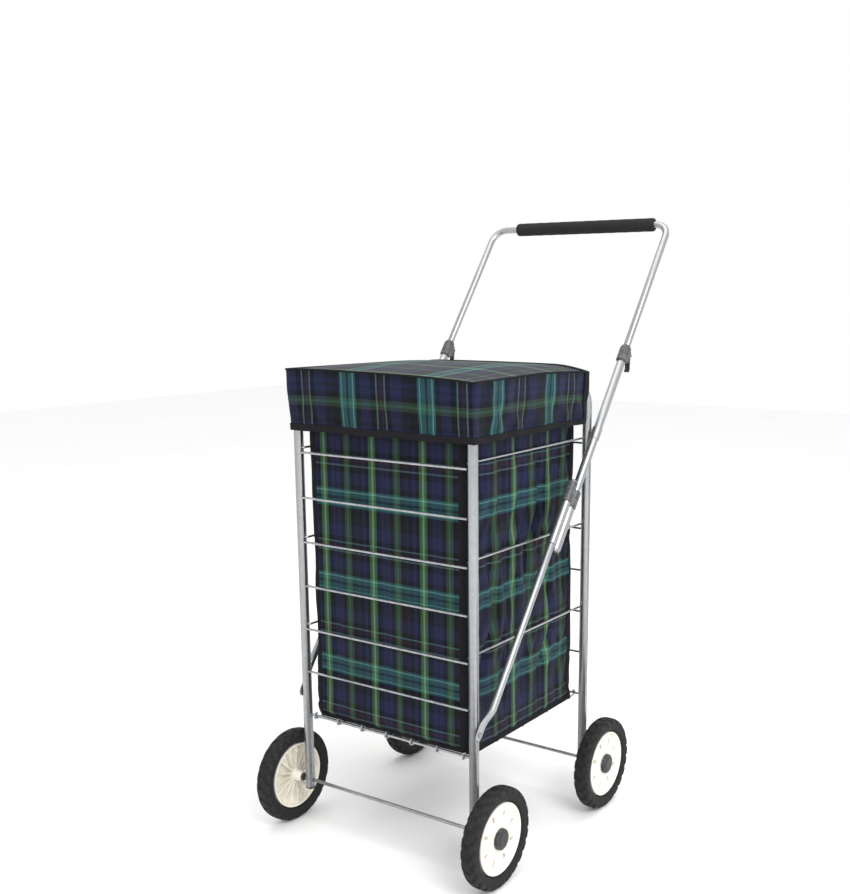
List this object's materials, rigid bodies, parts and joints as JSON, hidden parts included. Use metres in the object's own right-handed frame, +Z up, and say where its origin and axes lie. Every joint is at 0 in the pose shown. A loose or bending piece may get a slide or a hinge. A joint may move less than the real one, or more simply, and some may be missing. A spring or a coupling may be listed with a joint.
{
  "type": "shopping trolley on wheels",
  "caption": "Folding wheeled shopping trolley with a tube and wire cage, a soft lidded tartan bag and a telescopic push handle.",
  "frame": {"origin": "on the floor, under the middle of the whole trolley's bounding box", "axes": "+Z up, +X to the side across the trolley, -Y towards the front, away from the person who pushes it"},
  "size_m": [0.464, 0.7182, 1.0569],
  "materials": {
    "silver_tube": "silver powder coat, satin",
    "bright_wire": "zinc-bright wire",
    "rim_white": "off-white moulded plastic",
    "tyre_black": "matt black solid rubber",
    "black_plastic": "black moulded plastic, satin",
    "grip_foam": "black foam rubber",
    "tartan_cloth": "woven tartan in navy, dark green and black with pale green stripes",
    "base_board": "dark stiff board"
  },
  "bodies": {
    "rear_frame": {"rear_hoop": "silver_tube", "rear_base_wire": "bright_wire", "rear_axle": "bright_wire", "rear_wire_1": "bright_wire", "rear_wire_2": "bright_wire", "rear_wire_3": "bright_wire", "rear_wire_4": "bright_wire", "rear_wire_5": "bright_wire", "rear_wire_6": "bright_wire", "bag": "tartan_cloth"},
    "link_top": {"side_wire_left_1": "bright_wire", "side_wire_right_1": "bright_wire"},
    "link_mid": {"side_wire_left_2": "bright_wire", "side_wire_right_2": "bright_wire"},
    "link_low": {"side_wire_left_3": "bright_wire", "side_wire_right_3": "bright_wire"},
    "base": {"base_grid": "bright_wire", "bag_base_board": "base_board"},
    "front_frame": {"front_hoop": "silver_tube", "front_base_wire": "bright_wire", "front_axle": "bright_wire", "front_wire_1": "bright_wire", "front_wire_2": "bright_wire", "front_wire_3": "bright_wire", "front_wire_4": "bright_wire", "front_wire_5": "bright_wire", "front_wire_6": "bright_wire", "strut_rivet_left": "silver_tube", "strut_rivet_right": "silver_tube"},
    "strut_left": {"strut_left": "silver_tube"},
    "strut_right": {"strut_right": "silver_tube"},
    "handle_lower": {"handle_tube_left": "silver_tube", "handle_tube_right": "silver_tube", "handle_collar_left": "black_plastic", "handle_collar_right": "black_plastic", "sleeve_left": "silver_tube", "sleeve_right": "silver_tube", "guide_left": "black_plastic", "guide_right": "black_plastic", "clamp_left": "black_plastic", "clamp_right": "black_plastic"},
    "handle_upper": {"handle_upper": "silver_tube", "grip": "grip_foam"},
    "lever_left": {"clamp_lever_left": "black_plastic"},
    "lever_right": {"clamp_lever_right": "black_plastic"},
    "lid": {"lid": "tartan_cloth"},
    "wheel_front_left": {"rim_front_left": "rim_white", "tyre_front_left": "tyre_black", "hub_cap_front_left": "black_plastic"},
    "wheel_front_right": {"rim_front_right": "rim_white", "tyre_front_right": "tyre_black", "hub_cap_front_right": "black_plastic"},
    "wheel_rear_left": {"rim_rear_left": "rim_white", "tyre_rear_left": "tyre_black", "hub_cap_rear_left": "black_plastic"},
    "wheel_rear_right": {"rim_rear_right": "rim_white", "tyre_rear_right": "tyre_black", "hub_cap_rear_right": "black_plastic"}
  },
  "joints": [
    {"name": "fold", "type": "hinge", "parent": "rear_frame", "child": "link_top", "pos_m": [0, 0.07345, 0.672], "axis": [-1, 0, 0], "range_deg": [0, 83], "deforming": ["bag", "lid"]},
    {"name": "front_frame_swing", "type": "hinge", "parent": "link_top", "child": "front_frame", "pos_m": [0, -0.27655, 0.672], "axis": [1, 0, 0], "range_deg": [0, 83]},
    {"name": "link_mid_swing", "type": "hinge", "parent": "rear_frame", "child": "link_mid", "pos_m": [0, 0.07345, 0.52], "axis": [-1, 0, 0], "range_deg": [0, 83]},
    {"name": "link_low_swing", "type": "hinge", "parent": "rear_frame", "child": "link_low", "pos_m": [0, 0.07345, 0.368], "axis": [-1, 0, 0], "range_deg": [0, 83]},
    {"name": "base_swing", "type": "hinge", "parent": "rear_frame", "child": "base", "pos_m": [0, 0.07345, 0.2045], "axis": [-1, 0, 0], "range_deg": [0, 83]},
    {"name": "handle_swing", "type": "hinge", "parent": "rear_frame", "child": "handle_lower", "pos_m": [0, 0.07345, 0.682], "axis": [1, 0, 0], "range_deg": [0, 21.29]},
    {"name": "strut_left_swing", "type": "hinge", "parent": "front_frame", "child": "strut_left", "pos_m": [-0.183, -0.27655, 0.24578], "axis": [1, 0, 0], "range_deg": [0, 21.29]},
    {"name": "strut_right_swing", "type": "hinge", "parent": "front_frame", "child": "strut_right", "pos_m": [0.183, -0.27655, 0.24578], "axis": [1, 0, 0], "range_deg": [0, 21.29]},
    {"name": "handle_slide", "type": "slide", "parent": "handle_lower", "child": "handle_upper", "axis": [0, 0.6018, 0.7986], "range_m": [-0.19, 0.05]},
    {"name": "clamp_lever_left_flip", "type": "hinge", "parent": "handle_lower", "child": "lever_left", "pos_m": [-0.1925, 0.18694, 0.80934], "axis": [1, 0, 0], "range_deg": [0, 100]},
    {"name": "clamp_lever_right_flip", "type": "hinge", "parent": "handle_lower", "child": "lever_right", "pos_m": [0.1925, 0.18694, 0.80934], "axis": [1, 0, 0], "range_deg": [0, 100]},
    {"name": "lid_open", "type": "hinge", "parent": "rear_frame", "child": "lid", "pos_m": [0, 0.05345, 0.7848], "axis": [-1, 0, 0], "range_deg": [0, 125]},
    {"name": "wheel_front_left_spin", "type": "hinge", "parent": "front_frame", "child": "wheel_front_left", "pos_m": [-0.2155, -0.27655, 0.0825], "axis": [1, 0, 0], "continuous": true},
    {"name": "wheel_front_right_spin", "type": "hinge", "parent": "front_frame", "child": "wheel_front_right", "pos_m": [0.2155, -0.27655, 0.0825], "axis": [1, 0, 0], "continuous": true},
    {"name": "wheel_rear_left_spin", "type": "hinge", "parent": "rear_frame", "child": "wheel_rear_left", "pos_m": [-0.2155, 0.07345, 0.0825], "axis": [1, 0, 0], "continuous": true},
    {"name": "wheel_rear_right_spin", "type": "hinge", "parent": "rear_frame", "child": "wheel_rear_right", "pos_m": [0.2155, 0.07345, 0.0825], "axis": [1, 0, 0], "continuous": true}
  ],
  "couplings": [
    {"joint": "front_frame_swing", "follows": "fold", "ratio": 1},
    {"joint": "link_mid_swing", "follows": "fold", "ratio": 1},
    {"joint": "link_low_swing", "follows": "fold", "ratio": 1},
    {"joint": "base_swing", "follows": "fold", "ratio": 1},
    {"joint": "handle_swing", "follows": "fold", "ratio": 0.25644},
    {"joint": "strut_left_swing", "follows": "fold", "ratio": 0.25644},
    {"joint": "strut_right_swing", "follows": "fold", "ratio": 0.25644}
  ]
}
